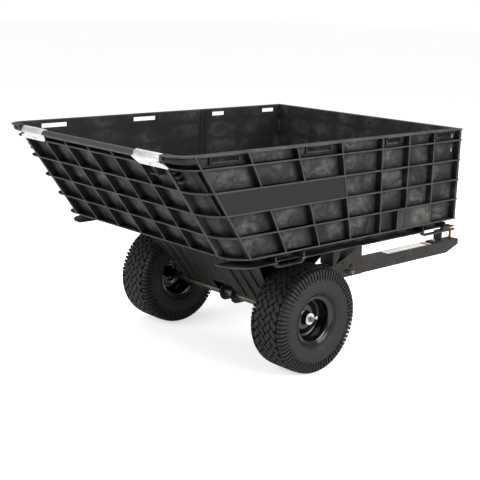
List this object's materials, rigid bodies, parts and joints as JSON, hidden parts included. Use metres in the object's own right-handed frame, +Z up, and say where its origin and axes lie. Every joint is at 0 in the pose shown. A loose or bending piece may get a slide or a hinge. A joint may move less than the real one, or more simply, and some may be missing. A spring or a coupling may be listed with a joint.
{
  "type": "tow behind cart",
  "caption": "Tow-behind dump cart: ribbed moulded tub with a sloping lift-out tailgate, on a fluted steel underframe with turf wheels and a pin-hitch drawbar.",
  "frame": {"origin": "on the ground, under the middle of the cart's length and width", "axes": "+X forward to the hitch, +Y to the left, +Z up"},
  "size_m": [2.0794, 0.978, 0.8259],
  "materials": {
    "tub_plastic": "rotational-moulded polyethylene, black with grey scuffs",
    "badge": "smooth charcoal plate",
    "powder_coat": "dark satin powder coat",
    "tube_steel": "grey satin paint",
    "bare_steel": "turned steel, dull",
    "zinc": "bright zinc plate",
    "yellow_zinc": "yellow zinc plate",
    "tyre": "turf tyre rubber",
    "rim": "gloss black paint",
    "bush": "moulded nylon",
    "valve": "black rubber",
    "label": "white vinyl with a red band",
    "spring_steel": "oiled spring wire",
    "black_bolt": "black oxide"
  },
  "bodies": {
    "chassis": {"drawbar_bracket": "powder_coat", "striker_pin": "powder_coat", "drawbar": "powder_coat", "drawbar_bolts": "black_bolt", "drawbar_label": "label", "hitch_bracket": "powder_coat", "hitch_bracket_bolts": "zinc", "axle": "bare_steel", "axle_spacers": "bare_steel", "axle_washers": "zinc", "split_pin_left": "zinc", "split_pin_right": "zinc"},
    "bed": {"bed_base": "tub_plastic", "hand_loops": "tub_plastic", "side_wall_left": "tub_plastic", "side_wall_right": "tub_plastic", "front_panel": "tub_plastic", "badge_left": "badge", "badge_right": "badge", "corner_hinge_pins": "tub_plastic", "wall_screws": "zinc", "rear_carrier": "powder_coat", "front_carrier": "powder_coat", "carrier_braces": "powder_coat", "carrier_sleeves": "bare_steel", "carrier_bolts": "zinc", "latch_post": "powder_coat", "latch_post_bolts": "zinc", "latch_lever_pin": "zinc", "latch_spring": "spring_steel"},
    "tailgate": {"tailgate": "tub_plastic", "tailgate_tube": "tube_steel", "tailgate_bracket_left": "zinc", "tailgate_bracket_right": "zinc", "tailgate_bolts": "zinc"},
    "latch_lever": {"latch_lever": "powder_coat"},
    "hitch_pin": {"hitch_pin": "yellow_zinc"},
    "lock_pin": {"lock_pin": "black_bolt", "lock_clip": "yellow_zinc"},
    "wheel_left": {"tyre_left": "tyre", "rim_left": "rim", "bushes_left": "bush", "valve_left": "valve"},
    "wheel_right": {"tyre_right": "tyre", "rim_right": "rim", "bushes_right": "bush", "valve_right": "valve"}
  },
  "joints": [
    {"name": "bed_dump", "type": "hinge", "parent": "chassis", "child": "bed", "pos_m": [-0.3653, 0, 0.192], "axis": [0, -1, 0], "range_deg": [0, 50]},
    {"name": "tailgate_lift", "type": "slide", "parent": "bed", "child": "tailgate", "axis": [-0.5779, 0, 0.8161], "range_m": [0, 0.4]},
    {"name": "latch_release", "type": "hinge", "parent": "bed", "child": "latch_lever", "pos_m": [0.1807, 0, 0.304], "axis": [0, -1, 0], "range_deg": [0, 14], "stiffness_Nm_per_rad": 2, "springref_deg": -17.19},
    {"name": "hitch_pin_pull", "type": "slide", "parent": "chassis", "child": "hitch_pin", "axis": [0, 0, 1], "range_m": [0, 0.095]},
    {"name": "lock_pin_pull", "type": "slide", "parent": "chassis", "child": "lock_pin", "axis": [0, -1, 0], "range_m": [0, 0.09]},
    {"name": "wheel_left_spin", "type": "hinge", "parent": "chassis", "child": "wheel_left", "pos_m": [-0.3653, 0.3725, 0.192], "axis": [0, 1, 0], "continuous": true},
    {"name": "wheel_right_spin", "type": "hinge", "parent": "chassis", "child": "wheel_right", "pos_m": [-0.3653, -0.3725, 0.192], "axis": [0, 1, 0], "continuous": true}
  ]
}
